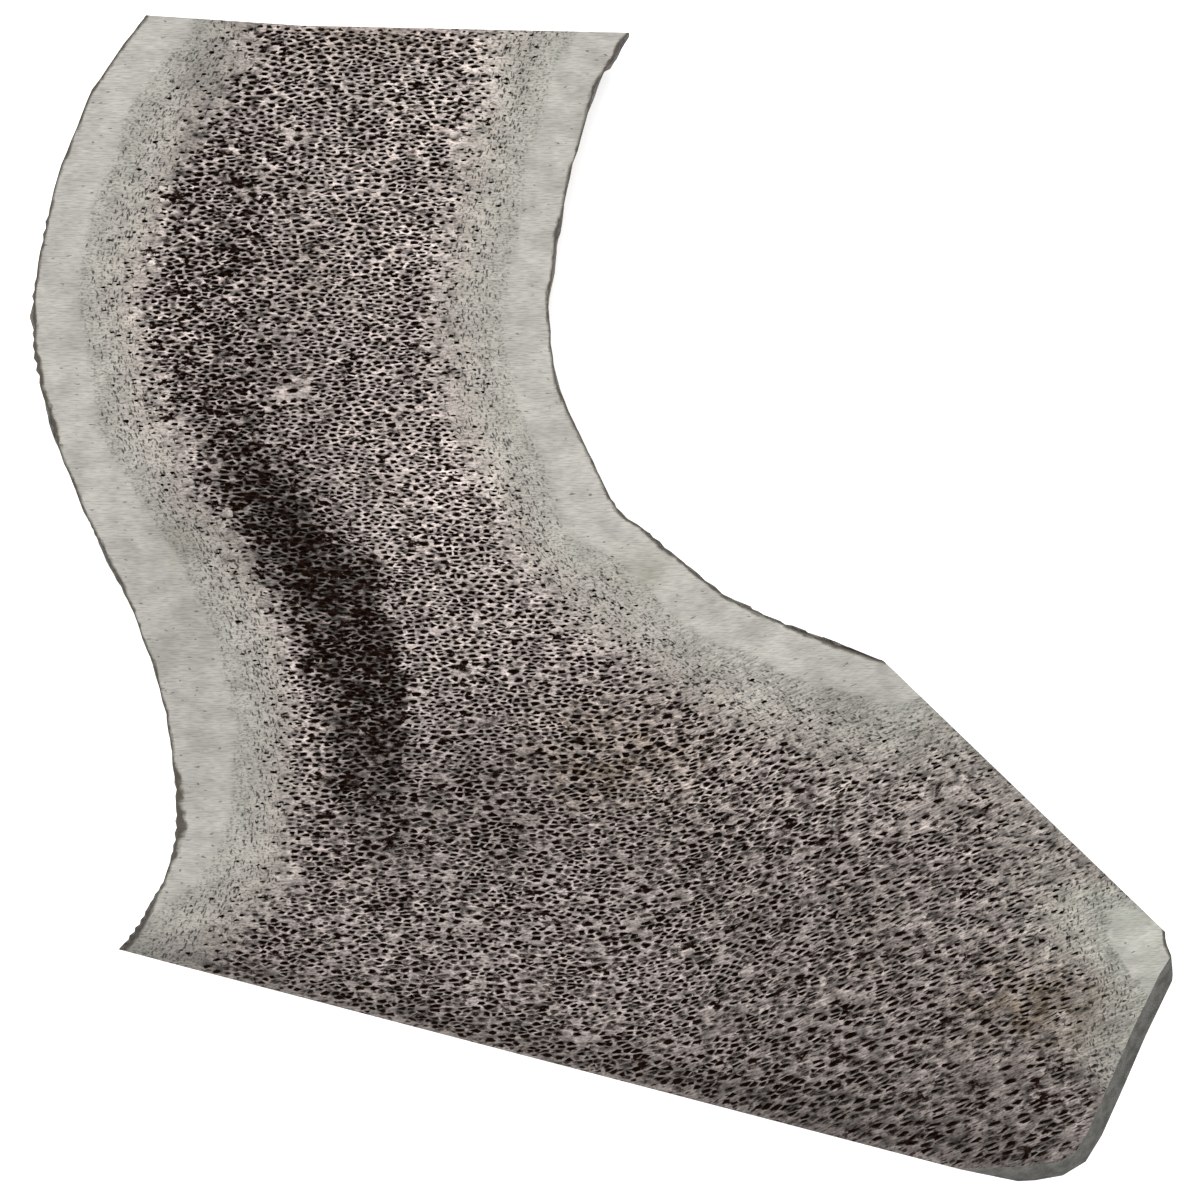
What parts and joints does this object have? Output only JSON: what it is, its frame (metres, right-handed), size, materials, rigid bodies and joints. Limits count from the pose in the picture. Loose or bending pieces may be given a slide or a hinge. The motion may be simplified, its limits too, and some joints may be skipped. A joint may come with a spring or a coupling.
{
  "type": "split elk antler",
  "caption": "Half of a forked antler beam sawn lengthways, with a flat porous cut face, a compact pale rim, sawn ends and a barky rounded back.",
  "frame": {"origin": "under the middle of the piece's box, on the surface that its rounded back lies on", "axes": "+Z out of the flat cut face, +Y up the beam, +X out along the stub of the tine"},
  "size_m": [0.1152, 0.117, 0.0215],
  "materials": {
    "antler_bone": "dry matt bone, brown bark on the back"
  },
  "bodies": {
    "root": {"antler": "antler_bone"}
  },
  "joints": []
}
